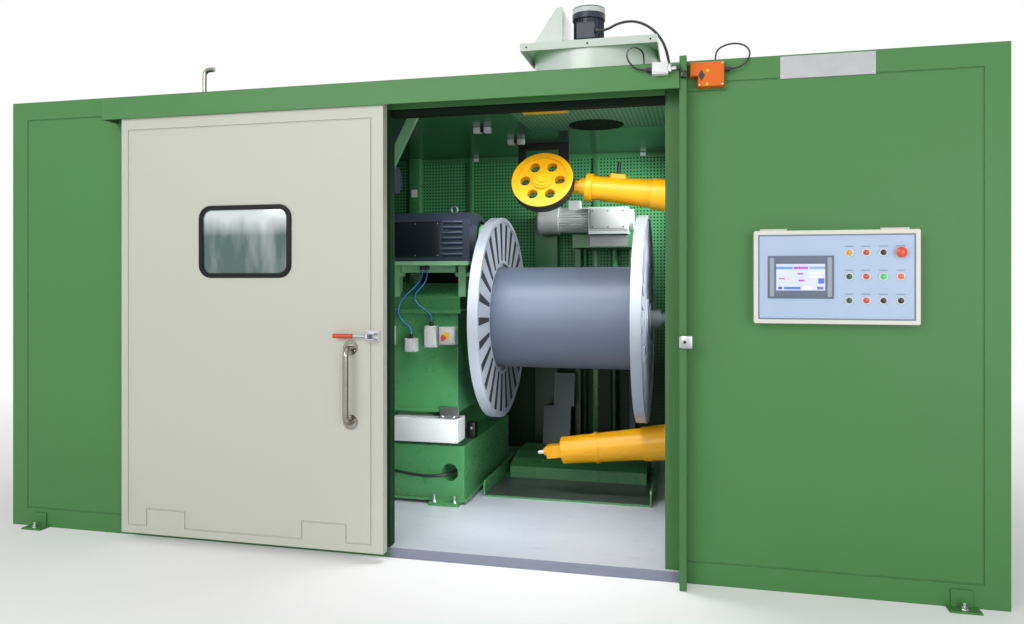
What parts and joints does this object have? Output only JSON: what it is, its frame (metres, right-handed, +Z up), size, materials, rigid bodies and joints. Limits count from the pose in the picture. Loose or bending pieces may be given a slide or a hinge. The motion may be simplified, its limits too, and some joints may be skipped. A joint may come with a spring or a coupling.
{
  "type": "single twist stranding machine",
  "caption": "Single twist stranding machine in a sound-proof cabin with a sliding door, a take-up reel, a rotating flyer with a pulley, a control panel and a roof fan.",
  "frame": {"origin": "middle of the cabin's underside on the floor, without the door gear that stands proud of the front", "axes": "+X along the cabin's front to the right, seen from the front, +Y from the front to the rear, +Z up"},
  "size_m": [5.102, 2.59, 3.07],
  "materials": {
    "cabin_green": "semi-gloss enamel",
    "door_ivory": "semi-gloss enamel",
    "floor_grey": "satin floor paint",
    "machine_green": "semi-gloss enamel",
    "guard_green": "semi-gloss enamel",
    "fan_green": "satin",
    "flyer_yellow": "gloss enamel",
    "reel_grey": "satin enamel",
    "motor_navy": "satin",
    "gear_grey": "satin",
    "lift_dark": "satin",
    "box_white": "powder coat",
    "panel_ivory": "powder coat",
    "bright_steel": "brushed",
    "chrome": "polished",
    "window_rubber": "matt",
    "window_glass": "clear",
    "screen_plastic": "fine texture",
    "button_plastic": "gloss",
    "switch_orange": "semi-gloss",
    "switch_white": "semi-gloss",
    "grip_red": "gloss",
    "cable_black": "satin",
    "hose_blue": "satin",
    "gland_black": "satin"
  },
  "bodies": {
    "cabin": {"base_floor": "floor_grey", "front_left_wall": "cabin_green", "front_right_wall": "cabin_green", "door_lintel": "cabin_green", "door_post": "cabin_green", "rear_wall": "cabin_green", "end_walls": "cabin_green", "roof_panel": "cabin_green", "anchor_feet": "cabin_green", "door_header": "cabin_green", "door_rail": "bright_steel", "latch_keeper": "bright_steel", "control_box": "panel_ivory", "touch_screen": "screen_plastic", "push_buttons": "button_plastic", "interlock_switch": "switch_orange", "limit_switch": "switch_white", "fan_drum": "fan_green", "fan_plate": "fan_green", "fan_motor": "motor_navy", "roof_vent": "chrome", "headstock_base": "machine_green", "headstock_body": "machine_green", "motor_plate": "guard_green", "drive_motor": "motor_navy", "belt_guard": "guard_green", "headstock_boxes": "box_white", "flyer_pedestal": "machine_green", "strand_inlet": "bright_steel", "rear_liner": "machine_green", "gearmotor_stand": "machine_green", "gearmotor": "gear_grey", "rear_motor": "motor_navy", "reel_table": "machine_green", "lift_arm": "lift_dark", "ceiling_brace": "guard_green", "cable_glands": "gland_black", "fan_cable": "cable_black", "interlock_cable": "cable_black", "limit_cable": "cable_black", "base_cable": "cable_black", "air_hose_left": "hose_blue", "air_hose_right": "hose_blue"},
    "door": {"door_panel": "door_ivory", "window_frame": "window_rubber", "window_glass": "window_glass", "door_handle": "chrome", "door_hangers": "bright_steel", "latch_base": "bright_steel"},
    "latch": {"latch_lever": "bright_steel", "latch_grip": "grip_red"},
    "reel": {"reel_barrel": "reel_grey", "reel_flange_left": "reel_grey", "reel_flange_right": "reel_grey", "reel_spindle": "lift_dark"},
    "flyer": {"flyer_carrier": "gear_grey", "flyer_shaft": "bright_steel", "upper_arm": "flyer_yellow", "lower_arm": "flyer_yellow"},
    "pulley": {"flyer_pulley": "flyer_yellow"}
  },
  "joints": [
    {"name": "door_slide", "type": "slide", "parent": "cabin", "child": "door", "axis": [1, 0, 0], "range_m": [0, 1.415]},
    {"name": "latch_turn", "type": "hinge", "parent": "door", "child": "latch", "pos_m": [-0.317, -1.303, 1.118], "axis": [0, 0, 1], "range_deg": [0, 90]},
    {"name": "reel_spin", "type": "hinge", "parent": "cabin", "child": "reel", "pos_m": [0.49, -0.055, 1.16], "axis": [1, 0, 0], "continuous": true},
    {"name": "flyer_spin", "type": "hinge", "parent": "cabin", "child": "flyer", "pos_m": [1.365, -0.055, 1.16], "axis": [1, 0, 0], "continuous": true},
    {"name": "pulley_spin", "type": "hinge", "parent": "flyer", "child": "pulley", "pos_m": [0.335, -0.1425, 1.99265], "axis": [0, -0.9063, 0.4226], "continuous": true}
  ]
}
